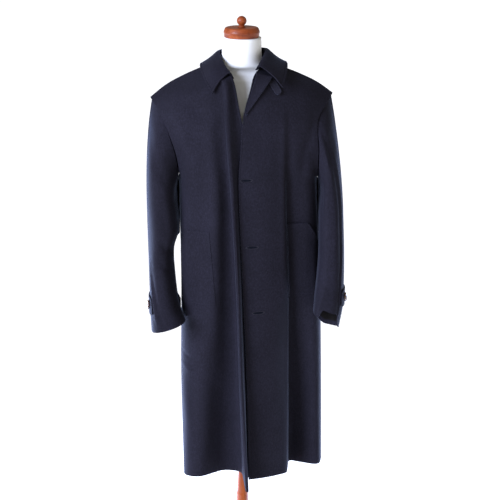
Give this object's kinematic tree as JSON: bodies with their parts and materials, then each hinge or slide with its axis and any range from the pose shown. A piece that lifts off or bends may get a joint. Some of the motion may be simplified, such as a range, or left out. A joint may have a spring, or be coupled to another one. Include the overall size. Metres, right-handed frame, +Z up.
{
  "type": "wool overcoat on a dress form",
  "caption": "Long unbuttoned wool overcoat with turn-down collar, patch pockets and tabbed sleeves, hung on a limbless dress form with a turned wooden cap, pole and base.",
  "frame": {"origin": "middle of the underside of the stand's round base", "axes": "+Z up along the pole, the coat's front faces -Y, the wearer's right side is -X"},
  "size_m": [0.5493, 0.34, 1.5873],
  "materials": {
    "navy_wool": "matt felted melton wool",
    "horn_button": "polished brown horn",
    "form_cotton": "white stretched cotton jersey",
    "varnished_wood": "turned and varnished"
  },
  "bodies": {
    "root": {"back": "navy_wool", "front_left": "navy_wool", "front_right": "navy_wool", "facing_left": "navy_wool", "collar": "navy_wool", "throat_latch": "navy_wool", "sleeve_right_front": "navy_wool", "sleeve_right_back": "navy_wool", "sleeve_left_front": "navy_wool", "sleeve_left_back": "navy_wool", "pocket_right": "navy_wool", "pocket_left": "navy_wool", "cuff_tab_right": "navy_wool", "cuff_tab_left": "navy_wool", "cuff_button_right": "horn_button", "cuff_button_left": "horn_button", "front_button_1": "horn_button", "front_button_2": "horn_button", "front_button_3": "horn_button", "form_torso": "form_cotton", "neck_cap": "varnished_wood", "cap_knob": "varnished_wood", "stand_pole": "varnished_wood", "stand_base": "varnished_wood"}
  },
  "joints": []
}
